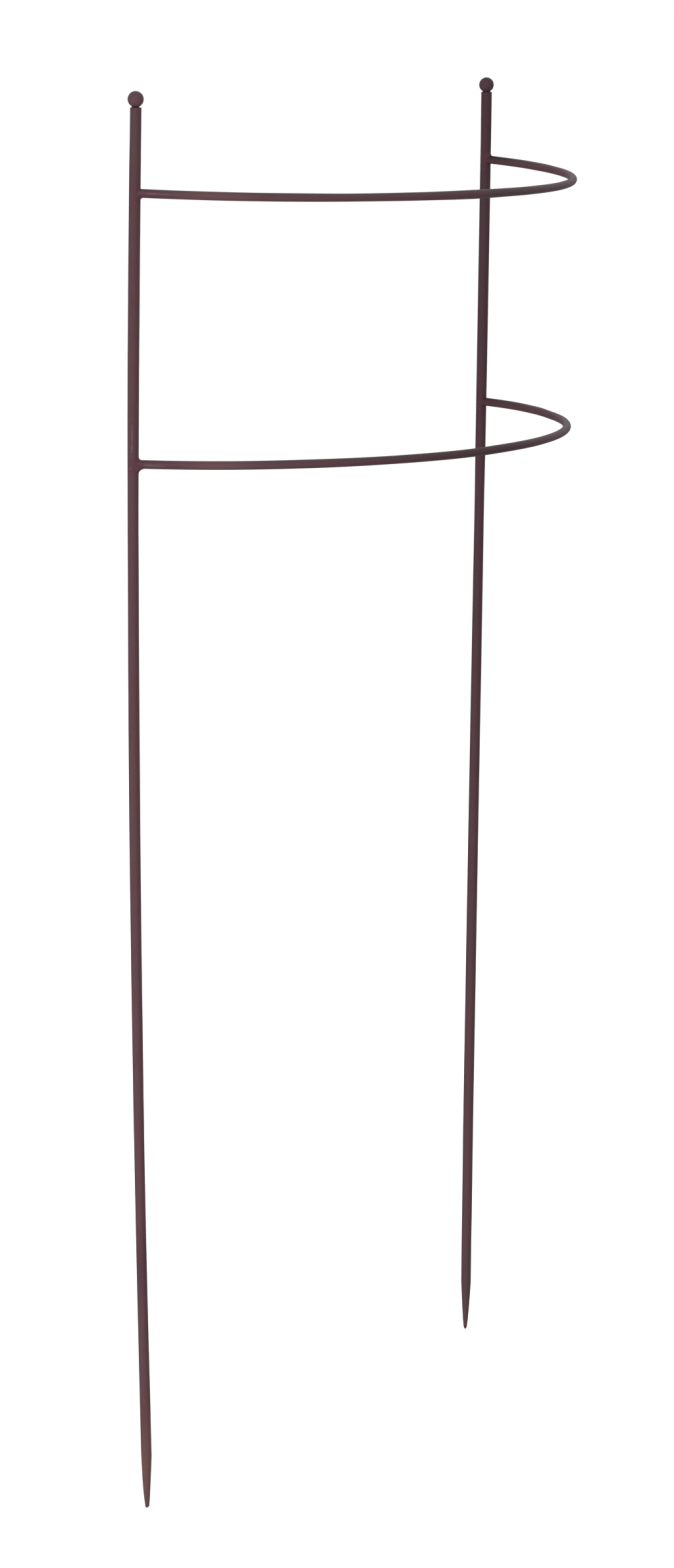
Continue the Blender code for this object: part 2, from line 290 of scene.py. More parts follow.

# Coats. Shares are those of the redder mottling, the greyer mottling, the front's red and the back's grey.
# Coarse is how uneven the surface is. A patch has an axis, centre, half width, share and tone. A foot has
# the heights between which its tone fades out; on the left stake that tone is a painted sheen on the front
# of the point. A streak has the places between which it fades out, and the share of the roughness that it
# keeps.
# A shaded top is painted shade on a hoop's upper side by its right end; it has the places between which it
# comes in, its share and its tone.
COATS = {
    "left_stake": {
        "tones": PLUM, "shares": (0.7, 0.5, 0.55, 0.6), "roughness": 0.52, "gloss": 0.4,
        # The foot's tone: painted sheen on the front of the point
        "coarse": 0.35, "grain": UPRIGHT, "shift": (1, 2, 3), "foot": (0.05, 0.14, BROWN_SHEEN),
        "patches": [
            ("Z", 0.836, 0.011, 0.7, RED_PLUM), ("Z", 0.205, 0.050, 0.7, DULL_PLUM),
            # Painted sheen round the point
            ("Z", 0.035, 0.055, 0.8, TAN_SHEEN), ("Z", 0, 0.007, 0.7, TIP_GREY),
        ],
    },
    "right_stake": {
        # Darker coat than the left stake's: painted shade
        "tones": SHADED_PLUM, "shares": (0.4, 0.5, 0.2, 0.2), "roughness": 0.54, "gloss": 0.4,
        "coarse": 0.35, "grain": UPRIGHT, "shift": (4, 1, 6),
        "patches": [
            # Painted light: lighter towards the foot, fading out by the top
            ("Z", 0, 1.00, 0.80, LOWER_LIGHT_PLUM), ("Z", 0.058, 0.030, 0.6, FOOT_GREY),
            ("Z", 0, 0.006, 0.8, TIP_DARK), ("Z", 0.840, 0.014, 0.8, MAROON_BAND_AND_SHADE),
            ("Z", 1.046, 0.012, 0.8, MAROON_BAND_AND_SHADE),
        ],
    },
    "upper_hoop": {
        "tones": UPPER_PLUM, "shares": (0.8, 0.25, 0.15, 0), "roughness": 0.39, "gloss": 0.5,
        "coarse": 0.05, "grain": LEVEL, "shift": (2, 5, 1), "streak": HOOP_STREAK,
        # Painted shade on the hoop's middle
        "patches": [("X", -0.020, 0.14, 0.8, UPPER_FRONT_SHADE), *HOOP_END_PATCHES],
        # Painted shade on the hoop's upper side by its right end
        "shaded_tops": [(0.155, 0.190, 0.25, PAINTED_TOP_SHADE), (0.225, 0.246, 1.0, PAINTED_TOP_SHADE)],
    },
    "lower_hoop": {
        "tones": LOWER_PLUM, "shares": (0.8, 0.25, 0.15, 0), "roughness": 0.39, "gloss": 0.5,
        "coarse": 0.05, "grain": LEVEL, "shift": (3, 1, 4), "streak": HOOP_STREAK,
        # Painted shade on the hoop's middle
        "patches": [("X", -0.040, 0.16, 0.95, LOWER_FRONT_SHADE), *HOOP_END_PATCHES],
        # Painted shade on the hoop's upper side by its right end
        "shaded_tops": [(0.150, 0.185, 0.30, PAINTED_TOP_SHADE), (0.210, 0.240, 0.45, PAINTED_TOP_SHADE)],
    },
    "ball": {
        "tones": BALL_PLUM, "shares": (0.6, 0.3, 0.2, 0), "roughness": 0.42, "gloss": 0.4,
        # The right ball darker: painted shade
        "coarse": 0.3, "grain": EVEN, "shift": (3, 3, 1), "patches": [("X", 0.25, 0.1, 0.8, RIGHT_BALL_SHADE)],
    },
    "bead": {
        "tones": BEAD_PLUM, "shares": (0.6, 0.3, 0.3, 0), "roughness": 0.44, "gloss": 0.4,
        # The beads by the right stake darker: painted shade
        "coarse": 0.35, "grain": EVEN, "shift": (5, 2, 2), "patches": [("X", 0.25, 0.1, 0.7, MAROON_BAND_AND_SHADE)],
    },
    "neck": {
        # Near-black: painted shade in the crevice under the ball
        "tones": NECK_SHADE_PLUM, "shares": (0.4, 0.4, 0, 0), "roughness": 0.50, "gloss": 0.3,
        "coarse": 0.35, "grain": EVEN, "shift": (1, 4, 2),
    },
    "spatter_highlight": {
        # Pale: painted highlight on the spatter
        "tones": SPATTER_HIGHLIGHT_PLUM, "shares": (0.6, 0.4, 0, 0), "roughness": 0.42, "gloss": 0.5,
        "coarse": 0.2, "grain": EVEN, "shift": (2, 2, 2),
    },
    "run": {
        # Pale: painted highlight streak on the hoops
        "tones": HIGHLIGHT_PLUM, "shares": (0.6, 0.4, 0, 0), "roughness": 0.40, "gloss": 0.5,
        "coarse": 0.2, "grain": EVEN, "shift": (2, 4, 2),
    },
}

# Mottling of every coat: the noise's scale and detail, and the band of the noise in which it comes in.
# Flecks lighten the colour a little, and wear makes the surface smoother or rougher.
RED_MOTTLING = (95, 3, 0.46, 0.66)
GREY_MOTTLING = (60, 3, 0.50, 0.68)
GREY_SHIFT = (7, 3, 5)
FLECKS = (900, 2, 0.35, 0.7)
FLECK_SHARE = 0.18
FLECK_LIGHTER = 1.35
WEAR = (180, 4, 0.3, 0.7)
WEAR_SMOOTHER = 0.18
WEAR_ROUGHER = 0.28

# Which way a surface faces, as a band of its normal's Y or Z, for the tones of its front, back and top, and
# for the painted shade on a hoop's upper side
FRONT_BAND = (-0.98, -0.50)
BACK_BAND = (0.1, 0.8)
TOP_BAND = (0.55, 0.95)
TOP_SHARE = 0.7
SHADED_TOP_BAND = (-0.2, 0.4)

# Orange peel: scales of its fine and its broad noise, how much more the broad one counts, and its depth
PEEL_FINE = 850
PEEL_BROAD = 260
PEEL_DETAIL = 2
PEEL_BROAD_WEIGHT = 1.4
PEEL_DEPTH = 0.12 * MM

# Camera of the photograph
CAMERA_PLACE = (-2.49105, -1.63817, 1.20297)
CAMERA_YAW = 0.9945
CAMERA_PITCH = 0.2159
CAMERA_ROLL = 0.0100
CAMERA_LENS = 85.70
CAMERA_FAR = 600
SENSOR = 36.0

# Surround: its strength as a light and in reflections, and the band of the direction's Z where it brightens
SKY_ABOVE = 0.71
SKY_BELOW = 0.28
SKY_BAND = (-0.5, 0.7)
GLOSS_ABOVE = 0.58
GLOSS_BELOW = 0.30
GLOSS_BAND = (-0.4, 0.4)

# Floor: it glows a little, so that it looks white
FLOOR_RADIUS = 260
FLOOR_SIDES = 96
FLOOR_DROP = 0.001
FLOOR_WHITE = 0.93
FLOOR_GLOW = 0.6

# Softboxes; only the strip shows in reflections
SOFTBOXES = {
    "key_softbox": {
        "place": (-1.98, -1.17, 2.60), "target": (0, 0, 0.9), "size": (1.0, 1.0),
        "power": 12, "shines": False,
    },
    "back_softbox": {
        "place": (2.30, 0.30, 2.60), "target": (0, 0, 0.9), "size": (1.0, 1.0),
        "power": 30, "shines": False,
    },
    "left_bounce": {
        "place": (-2.10, 1.00, -0.10), "target": (0, 0, 0.5), "size": (1.1, 1.1),
        "power": 19, "shines": False,
    },
    "front_bounce": {
        "place": (-1.76, -1.48, -0.20), "target": (0, 0, 0.4), "size": (1.1, 1.1),
        "power": 20, "shines": False,
    },
    "strip_light": {
        "place": (-2.64, -0.21, 1.45), "target": (-0.25, 0, 0.95), "size": (0.35, 0.70),
        "power": 1.3, "shines": True,
    },
}


def stake_axis(side_name, height):
    """Point on a stake's axis: a plumb line, drawn in at the foot and bowed in the middle."""
    stake = STAKES[side_name]
    along = height / STAKE_LENGTH
    outward = stake["foot_out"] * (1 - along) + stake["bow_out"] * 4 * along * (1 - along)
    return Vector((stake["side"] * (STAKE_SPACING / 2 + outward), 0, height))


def stake_direction(side_name, height):
    return (stake_axis(side_name, height + MM) - stake_axis(side_name, height - MM)).normalized()


def waviness(point, size, height):
    """Signed unevenness of a surface: lumps of one size, this high."""
    return height * noise.noise(point / size)


def eased(knots, at):
    """Value at a place between knots, running smoothly from each to the next."""
    for (low, before), (high, after) in zip(knots, knots[1:]):
        if at < high:
            share = max(0, (at - low) / (high - low))
            return before + (after - before) * share * share * (3 - 2 * share)
    return knots[-1][1]


def finish_piece(name, edit, coat, slot, *nodes):
    """Close a piece's mesh, dress it and let it ride in place of the nodes that it stands for."""
    bmesh.ops.recalc_face_normals(edit, faces=edit.faces)
    mesh = bpy.data.meshes.new(name)
    edit.to_mesh(mesh)
    edit.free()
    mesh.shade_smooth()
    mesh.materials.append(coat)
    piece = bpy.data.objects.new(name, mesh)
    scene.collection.objects.link(piece)
    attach(piece, "root")
    if nodes:
        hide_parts(*nodes)


# Bars

def stake_profile(side_name):
    """Radii and heights up a stake: nose, bulging taper, shaft and eased top."""
    stake, point = STAKES[side_name], POINTS[side_name]
    full, top, end, flat = stake["radius"], stake["top"], point["end"] * MM, point["flat"] * MM
    start, nose = point["start"] * MM, (point["start"] + point["nose"]) * MM
    rows = [(0, start)]
    for i in range(NOSE_STEPS + 1):
        turn = math.pi / 2 * i / NOSE_STEPS
        radius = flat + (end - flat) * math.sin(turn) ** point["cone"]
        rows.append((radius, nose - (nose - start) * math.cos(turn)))
    for i in range(1, TAPER_STEPS + 1):
        left_over = 1 - i / TAPER_STEPS
        shoulder = point["shoulder"] * (1 - left_over ** POINT_SHOULDER_BULGE)
        share = shoulder + (1 - point["shoulder"]) * (1 - left_over ** point["bulge"])
        rows.append((end + (full - end) * share, POINT_LENGTH - (POINT_LENGTH - nose) * left_over))
    edge = top - TOP_EASE_RISE
    for i in range(1, SHAFT_STEPS + 1):
        rows.append((full, POINT_LENGTH + (edge - TOP_ROUND - POINT_LENGTH) * i / SHAFT_STEPS))
    rows.append((full - TOP_ROUND, edge + TOP_ROUND * TOP_ROUND_BELOW))
    rows.append((full - TOP_EASE_RUN, top - TOP_ROUND * TOP_ROUND_ABOVE))
    rows.append((full - TOP_EASE_RUN - TOP_ROUND, top))
    rows.append((0, top))
    return rows


def turned(rows, sides):
    """Solid of revolution about Z through a row of radii and heights."""
    edit = bmesh.new()
    verts = [edit.verts.new((radius, 0, height)) for radius, height in rows]
    edges = [edit.edges.new(pair) for pair in zip(verts, verts[1:])]
    bmesh.ops.spin(
        edit, geom=verts + edges, cent=(0, 0, 0), axis=(0, 0, 1), dvec=(0, 0, 0),
        angle=math.tau, steps=sides, use_merge=True, use_normal_flip=False, use_duplicate=False,
    )
    bmesh.ops.remove_doubles(edit, verts=edit.verts, dist=MERGE_DISTANCE)
    return edit


def bar_unevenness(place, drawn_place, lump_height):
    """Height of a bar's skin over its nominal size: long draw marks and small lumps, set in a little."""
    marks = waviness(drawn_place, DRAW_MARK_SIZE, DRAW_MARK_HEIGHT)
    return marks + waviness(place, LUMP_SIZE, lump_height) - SKIN


def point_dents(place, height):
    """Hammered flats on a forged point, none at its nose or where it meets the shaft."""
    share = max(0, 1 - height / POINT_LENGTH) * min(1, height / DENT_START)
    return -abs(waviness(Vector((place.x, place.y, place.z * DENT_SQUEEZE)), DENT_SIZE, DENT_DEPTH)) * share


def make_stake(side_name, coat):
    edit = turned(stake_profile(side_name), STAKE_SIDES)
    for vert in edit.verts:
        height = vert.co.z
        out = Vector((vert.co.x, vert.co.y, 0))
        place = vert.co + stake_axis(side_name, height) - Vector((0, 0, height))
        if out.length > 0:
            drawn = Vector((place.x, place.y, place.z * DRAW_MARK_SQUEEZE))
            built = eased(COAT_BUILD[side_name], height) * MM if height > POINT_LENGTH else 0
            lift = bar_unevenness(place, drawn, STAKE_LUMP_HEIGHT) + built + point_dents(place, height)
            place += out.normalized() * lift * min(1, out.length / STAKES[side_name]["radius"])
        slant = POINTS[side_name]["slant"] * max(0, 1 - height / POINT_SLANT_HEIGHT)
        place.z += out.dot(DRIFT_WAY) * slant
        vert.co = place + DRIFT_WAY * eased(STAKE_DRIFT[side_name], height) * MM
    finish_piece(side_name + "_stake_bar", edit, coat, "stake_coat", side_name + "_stake")


def hoop_arc(level):
    """Centre, radius and half angle of a hoop's arc, before it is tipped to its three heights."""
    left = stake_axis("left", HOOPS[level]["left"])
    right = stake_axis("right", HOOPS[level]["right"])
    half_chord = (right.x - left.x) / 2
    radius = (half_chord ** 2 + HOOP_REACH ** 2) / (2 * HOOP_REACH)
    centre = Vector(((left.x + right.x) / 2, radius - HOOP_REACH, 0))
    return centre, radius, math.atan2(half_chord, radius - HOOP_REACH)


def hoop_height(level, x, y):
    """Height of a hoop's sloping plane over a point."""
    heights = HOOPS[level]
    centre, _, _ = hoop_arc(level)
    left = stake_axis("left", heights["left"])
    share = (x - left.x) / (2 * (centre.x - left.x))
    chord = heights["left"] + (heights["right"] - heights["left"]) * share
    middle = (heights["left"] + heights["right"]) / 2
    return chord + (heights["front"] - middle) * -y / HOOP_REACH


def make_hoop(level, coat):
    """Round bar swept along its arc, its ends running on inside the stakes."""
    centre, radius, half_angle = hoop_arc(level)
    edit = bmesh.new()
    ring = bmesh.ops.create_circle(edit, segments=HOOP_SIDES, radius=HOOP_RADIUS)["verts"]
    bmesh.ops.rotate(edit, verts=ring, matrix=Matrix.Rotation(math.pi / 2, 3, "Y"))
    bmesh.ops.translate(edit, verts=ring, vec=centre - Vector((0, radius, 0)))
    bmesh.ops.rotate(edit, verts=ring, cent=centre, matrix=Matrix.Rotation(-half_angle, 3, "Z"))
    bmesh.ops.spin(
        edit, geom=ring + edit.edges[:], cent=centre, axis=(0, 0, 1), dvec=(0, 0, 0),
        angle=2 * half_angle, steps=HOOP_STEPS, use_merge=False, use_normal_flip=False, use_duplicate=False,
    )
    bmesh.ops.holes_fill(edit, edges=[edge for edge in edit.edges if edge.is_boundary])
    for vert in edit.verts:
        flat = Vector((vert.co.x, vert.co.y, 0))
        middle = centre + (flat - centre).normalized() * radius
        out = vert.co - middle
        turn = math.atan2(flat.x - centre.x, centre.y - flat.y)
        around = math.atan2(out.z, (flat - centre).length - radius)
        drawn_along = turn * radius * DRAW_MARK_SQUEEZE
        drawn = Vector((drawn_along, HOOP_RADIUS * math.cos(around), HOOP_RADIUS * math.sin(around)))
        share = (turn + half_angle) / (2 * half_angle)
        lift = bar_unevenness(vert.co, drawn, HOOP_LUMP_HEIGHT) + eased(COAT_BUILD[level], share) * MM
        vert.co += out.normalized() * lift
        vert.co.z += hoop_height(level, middle.x, middle.y) + eased(HOOP_RISE[level], share) * MM
    finish_piece(level + "_hoop_bar", edit, coat, "hoop_coat", level + "_hoop")


# Welds, balls and drops

def joint_frame(level, side_name):
    """Frame of a hoop's joint: X leaves the stake along the hoop, Z runs up the stake, Y is across."""
    _, _, half_angle = hoop_arc(level)
    side = STAKES[side_name]["side"]
    start = stake_axis(side_name, HOOPS[level][side_name] + eased(HOOP_RISE[level], (1 + side) / 2) * MM)
    onward = Vector((-side * math.cos(half_angle), -math.sin(half_angle), 0))
    up = stake_direction(side_name, start.z)
    across = up.cross(onward).normalized()
    return Matrix.Translation(start) @ Matrix((across.cross(up), across, up)).transposed().to_4x4()


def blend_round(angle, sideways, upward, downward):
    """A length that runs smoothly from its sideways value to its upward or downward one round the hoop."""
    upright = upward if math.sin(angle) > 0 else downward
    share = math.sin(angle) ** 2
    return (sideways * (1 - share) + upright * share) * MM


def bead_point(angle, fade, leg, reach, stake_radius):
    """Point of a bead's skin in the joint's frame: fade 0 is its toe on the stake, fade 1 its crest."""
    spread = HOOP_RADIUS * math.cos(angle)
    rise = HOOP_RADIUS * math.sin(angle)
    corner = math.asin(spread / stake_radius) * stake_radius
    toe = Vector((corner + leg * math.cos(angle), rise + leg * math.sin(angle), -BEAD_TOE_DEPTH))
    lifted = stake_radius + reach
    crest_across = math.asin(spread * BEAD_CREST_TUCK / lifted) * lifted
    crest = Vector((crest_across, rise * BEAD_CREST_TUCK, reach))
    knee = Vector((corner, rise, 0)) * (1 - BEAD_FILL) + (toe + crest) / 2 * BEAD_FILL
    skin = toe * (1 - fade) ** 2 + knee * 2 * fade * (1 - fade) + crest * fade ** 2
    wave = math.sin(angle * BEAD_RIPPLES + fade * BEAD_RIPPLE_TWIST)
    ripple = BEAD_RIPPLE_HEIGHT * wave * math.sin(math.pi * fade)
    out = stake_radius + skin.z + ripple
    turn = skin.x / (stake_radius + max(0, skin.z))
    return Vector((out * math.cos(turn), out * math.sin(turn), skin.y))


def make_bead(level, side_name, coat):
    """Fillet of weld metal round a hoop's end, its edges sunk into both bars."""
    bead = BEADS[level, side_name]
    stake = STAKES[side_name]
    near_side = -stake["side"]
    place = joint_frame(level, side_name)
    apart = place.translation.z * BEAD_WANDER_APART
    edit = bmesh.new()
    rings = []
    for i in range(-1, BEAD_STEPS + 2):
        ring = bmesh.ops.create_circle(edit, segments=BEAD_SIDES, radius=1)["verts"]
        for vert in ring:
            angle = math.atan2(vert.co.y, vert.co.x)
            wander = Vector((math.cos(angle) * BEAD_WANDER, math.sin(angle) * BEAD_WANDER, apart))
            uneven = 1 + BEAD_UNEVENNESS * noise.noise(wander)
            sideways = bead["near"] if math.cos(angle) * near_side > 0 else bead["far"]
            leg = blend_round(angle, sideways, bead["up"], bead["down"]) * uneven
            reach = blend_round(angle, BEAD_SIDE_REACH, bead["reach_up"], bead["reach_down"]) * uneven
            fade = min(max(i, 0), BEAD_STEPS) / BEAD_STEPS
            point = bead_point(angle, fade, leg, reach, stake["radius"])
            if i == -1:
                point = Vector((point.x * BEAD_SUNK_FOOT, point.y * BEAD_SUNK_FOOT, point.z))
            if i == BEAD_STEPS + 1:
                point = Vector((point.x, point.y * BEAD_SUNK_CAP, point.z * BEAD_SUNK_CAP))
            world = place @ point
            lumps = waviness(world, BEAD_LUMP_SIZE, BEAD_LUMP_HEIGHT) if 0 < i < BEAD_STEPS else 0
            vert.co = world + (world - place.translation).normalized() * lumps
        # Each edge of the ring once, in an order that is the same every run
        rings.append(list(dict.fromkeys(edge for vert in ring for edge in vert.link_edges)))
    for near, far in zip(rings, rings[1:]):
        bmesh.ops.bridge_loops(edit, edges=near + far)
    for ring in (rings[0], rings[-1]):
        bmesh.ops.edgeloop_fill(edit, edges=ring)
    node = level + "_" + side_name + "_weld"
    finish_piece(node + "_bead", edit, coat, "weld_coat", node)


def finial_frame(side_name):
    """Frame of a stake's top: origin on the sawn face, Z along the stake."""
    turn = Vector((0, 0, 1)).rotation_difference(stake_direction(side_name, STAKE_LENGTH))
    return Matrix.Translation(stake_axis(side_name, STAKE_LENGTH)) @ turn.to_matrix().to_4x4()


def make_neck(side_name, coat):
    """Weld under a ball: a low collar that climbs a little up the ball and spreads on the stake's top."""
    stake = STAKES[side_name]
    waist = stake["neck"]
    top = stake["ball_rise"] - math.sqrt(stake["ball_radius"] ** 2 - (waist + NECK_RIM) ** 2)
    rows = [(0, -NECK_FOOT_SINK), (waist + NECK_FOOT_SPREAD, -NECK_FOOT_SINK), (waist + NECK_FOOT_EDGE, 0)]
    for i in range(1, NECK_STEPS + 1):
        along = i / NECK_STEPS
        rows.append((waist + NECK_FLARE * (2 * along - 1) ** 2, top * along))
    rows += [(waist - NECK_TIP_INSET, top + NECK_TIP_SINK), (0, top + NECK_TIP_SINK)]
    edit = turned(rows, NECK_SIDES)
    place = finial_frame(side_name)
    for vert in edit.verts:
        out = Vector((vert.co.x, vert.co.y, 0))
        world = place @ vert.co
        if out.length > waist * NECK_SKIN_SHARE:
            world += out.normalized() * waviness(world, NECK_LUMP_SIZE, NECK_LUMP_HEIGHT)
        vert.co = world
    finish_piece(side_name + "_finial_bead", edit, coat, "weld_coat", side_name + "_finial_weld")


def make_ball(side_name, coat):
    stake = STAKES[side_name]
    edit = bmesh.new()
    bmesh.ops.create_icosphere(edit, subdivisions=BALL_FINENESS, radius=stake["ball_radius"] - SKIN)
    place = finial_frame(side_name) @ Matrix.Translation((*stake["ball_aside"], stake["ball_rise"]))
    for vert in edit.verts:
        world = place @ vert.co
        lumps = sum(waviness(world, size, height) for size, height in BALL_LUMPS)
        vert.co = world + (world - place.translation).normalized() * lumps
    finish_piece(side_name + "_ball_finial", edit, coat, "ball_coat", side_name + "_ball")


def make_spatter(side_name, coat):
    """Small drops and runs of weld metal, coated over with the stake; their pale coat is a painted
    highlight.
    """
    edit = bmesh.new()
    radius = STAKES[side_name]["radius"]
    for height, direction, half_width, half_length, lift in SPATTER[side_name]:
        turn = math.radians(direction)
        out = Vector((math.cos(turn), math.sin(turn), 0))
        built = eased(COAT_BUILD[side_name], height) * MM
        drift = DRIFT_WAY * eased(STAKE_DRIFT[side_name], height) * MM
        away = radius + built + (lift - SPATTER_SINK * half_width) * MM - SKIN
        place = stake_axis(side_name, height) + drift + out * away
        size = Matrix.Diagonal((SPATTER_THICKNESS * half_width * MM, half_width * MM, half_length * MM, 1))
        flat = Matrix.Rotation(turn, 4, "Z") @ size
        drop = bmesh.ops.create_icosphere(edit, subdivisions=SPATTER_FINENESS, radius=1)["verts"]
        bmesh.ops.transform(edit, verts=drop, matrix=Matrix.Translation(place) @ flat)
    finish_piece(side_name + "_stake_spatter", edit, coat, "weld_coat")


def make_hoop_runs(level, coat):
    """Thin pale drops lying on a hoop's skin, bent with it: a painted highlight streak."""
    centre, radius, half_angle = hoop_arc(level)
    edit = bmesh.new()
    for share, angle, width, length in HOOP_HIGHLIGHT_DROPS[level]:
        lift = HOOP_RADIUS + eased(COAT_BUILD[level], share) * MM - SKIN
        for vert in bmesh.ops.create_icosphere(edit, subdivisions=HIGHLIGHT_DROP_FINENESS, radius=1)["verts"]:
            along, across, out = vert.co
            turn = (2 * share - 1) * half_angle + along * length / 2 * MM / radius
            around = math.radians(angle) + across * width / 2 * MM / HOOP_RADIUS
            reach = radius + (lift + out * HIGHLIGHT_DROP_LIFT) * math.cos(around)
            x, y = centre.x + reach * math.sin(turn), centre.y - reach * math.cos(turn)
            middle_x, middle_y = centre.x + radius * math.sin(turn), centre.y - radius * math.cos(turn)
            height = hoop_height(level, middle_x, middle_y) + eased(HOOP_RISE[level], share) * MM
            vert.co = (x, y, height + (lift + out * HIGHLIGHT_DROP_LIFT) * math.sin(around))
    finish_piece(level + "_hoop_runs", edit, coat, "weld_coat")


# Finish

def add_noise(tree, place, scale, detail):
    texture = tree.nodes.new("ShaderNodeTexNoise")
    texture.inputs["Scale"].default_value = scale
    texture.inputs["Detail"].default_value = detail
    tree.links.new(place, texture.inputs["Vector"])
    return texture.outputs["Fac"]


def add_range(tree, value, low, high, to_low, to_high):
    """Rescale a value from one range to another, held at its ends."""
    scale = tree.nodes.new("ShaderNodeMapRange")
    scale.interpolation_type = "SMOOTHSTEP"
    for name, number in (("From Min", low), ("From Max", high), ("To Min", to_low), ("To Max", to_high)):
        scale.inputs[name].default_value = number
    tree.links.new(value, scale.inputs["Value"])
    return scale.outputs["Result"]


def add_mottling(tree, place, mottling, to_low, to_high):
    """Noise of one kind, brought in over its band."""
    scale, detail, low, high = mottling
    return add_range(tree, add_noise(tree, place, scale, detail), low, high, to_low, to_high)


def add_mix(tree, share, first, second):
    """Blend two colours; each may be a socket or a colour."""
    mix = tree.nodes.new("ShaderNodeMix")
    mix.data_type = "RGBA"
    colours = [socket for socket in mix.inputs if socket.type == "RGBA"]
    for socket, colour in zip(colours, (first, second)):
        if isinstance(colour, tuple):
            socket.default_value = (*colour, 1)
        else:
            tree.links.new(colour, socket)
    tree.links.new(share, mix.inputs[0])
    return next(socket for socket in mix.outputs if socket.type == "RGBA")


def add_math(tree, kind, first, second=0):
    step = tree.nodes.new("ShaderNodeMath")
    step.operation = kind
    for socket, value in zip(step.inputs, (first, second)):
        if isinstance(value, (int, float)):
            socket.default_value = value
        else:
            tree.links.new(value, socket)
    return step.outputs[0]


def add_split(tree, vector):
    split = tree.nodes.new("ShaderNodeSeparateXYZ")
    tree.links.new(vector, split.inputs["Vector"])
    return split.outputs


def stretched(tree, source, scale, shift):
    """Coordinates drawn out along the bar."""
    mapping = tree.nodes.new("ShaderNodeMapping")
    mapping.inputs["Scale"].default_value = scale
    mapping.inputs["Location"].default_value = shift
    tree.links.new(source, mapping.inputs["Vector"])
    return mapping.outputs["Vector"]


def coat_colour(tree, place, facing, coat):
    """Colour of a coat: mottled from plum to red-brown and grey-brown, redder in front, duller on top, with
    patches among which are painted shade and painted sheen, and painted shade on a hoop's upper side by its
    right end.
    """
    base, red, grey = coat["tones"]
    reddened, mottled, front, back = coat["shares"]
    axes = add_split(tree, place)
    drawn = stretched(tree, place, coat["grain"], coat["shift"])
    reds = add_mottling(tree, drawn, RED_MOTTLING, 0, reddened)
    greys = add_mottling(tree, stretched(tree, place, coat["grain"], GREY_SHIFT), GREY_MOTTLING, 0, mottled)
    flecks = add_mottling(tree, place, FLECKS, 0, FLECK_SHARE)
    colour = add_mix(tree, reds, base, red)
    colour = add_mix(tree, greys, colour, grey)
    front_tone = red
    # A foot's tone on the front; on the left stake it is a painted sheen
    if "foot" in coat:
        low, high, tone = coat["foot"]
        front_tone = add_mix(tree, add_range(tree, axes["Z"], low, high, 1, 0), red, tone)
    colour = add_mix(tree, add_range(tree, facing["Y"], *FRONT_BAND, front, 0), colour, front_tone)
    colour = add_mix(tree, add_range(tree, facing["Y"], *BACK_BAND, 0, back), colour, grey)
    dull = tuple(sum(base) / 3 for _ in base)
    colour = add_mix(tree, add_range(tree, facing["Z"], *TOP_BAND, 0, TOP_SHARE), colour, dull)
    for axis, centre, half_width, share, tone in coat.get("patches", ()):
        away = add_math(tree, "ABSOLUTE", add_math(tree, "SUBTRACT", axes[axis], centre))
        colour = add_mix(tree, add_range(tree, away, 0, half_width, share, 0), colour, tone)
    # Painted shade: the upper side of a hoop darkened towards its right end
    for low, high, share, tone in coat.get("shaded_tops", ()):
        upper_side = add_range(tree, facing["Z"], *SHADED_TOP_BAND, 0, share)
        near_end = add_range(tree, axes["X"], low, high, 0, 1)
        colour = add_mix(tree, add_math(tree, "MULTIPLY", upper_side, near_end), colour, tone)
    return add_mix(tree, flecks, colour, tuple(channel * FLECK_LIGHTER for channel in base))


def coat_roughness(tree, place, coat):
    """Roughness of a coat: uneven by how coarse it is, and less where a streak lies."""
    smooth = coat["roughness"] - WEAR_SMOOTHER * coat["coarse"]
    rough = coat["roughness"] + WEAR_ROUGHER * coat["coarse"]
    worn = add_mottling(tree, stretched(tree, place, coat["grain"], coat["shift"]), WEAR, smooth, rough)
    if "streak" in coat:
        low, high, keep = coat["streak"]
        axes = add_split(tree, place)
        worn = add_math(tree, "MULTIPLY", worn, add_range(tree, axes["X"], low, high, keep, 1))
    return worn


def coat_peel(tree, place, coarse):
    """Orange peel of a coat, as a bump too small for the mesh."""
    peel = tree.nodes.new("ShaderNodeBump")
    peel.inputs["Strength"].default_value = coarse
    peel.inputs["Distance"].default_value = PEEL_DEPTH
    fine = add_noise(tree, place, PEEL_FINE, PEEL_DETAIL)
    broad = add_math(tree, "MULTIPLY", add_noise(tree, place, PEEL_BROAD, PEEL_DETAIL), PEEL_BROAD_WEIGHT)
    tree.links.new(add_math(tree, "ADD", fine, broad), peel.inputs["Height"])
    return peel.outputs["Normal"]


def make_coat(name, coat):
    """Satin coat of paint, as its entry in the table of coats has it."""
    material = bpy.data.materials.new(name)
    material.use_nodes = True
    tree = material.node_tree
    shader = tree.nodes["Principled BSDF"]
    coordinates = tree.nodes.new("ShaderNodeTexCoord")
    place = coordinates.outputs["Object"]
    facing = add_split(tree, coordinates.outputs["Normal"])
    tree.links.new(coat_colour(tree, place, facing, coat), shader.inputs["Base Color"])
    tree.links.new(coat_roughness(tree, place, coat), shader.inputs["Roughness"])
    tree.links.new(coat_peel(tree, place, coat["coarse"]), shader.inputs["Normal"])
    shader.inputs["Specular IOR Level"].default_value = coat["gloss"]
    return material


# Studio

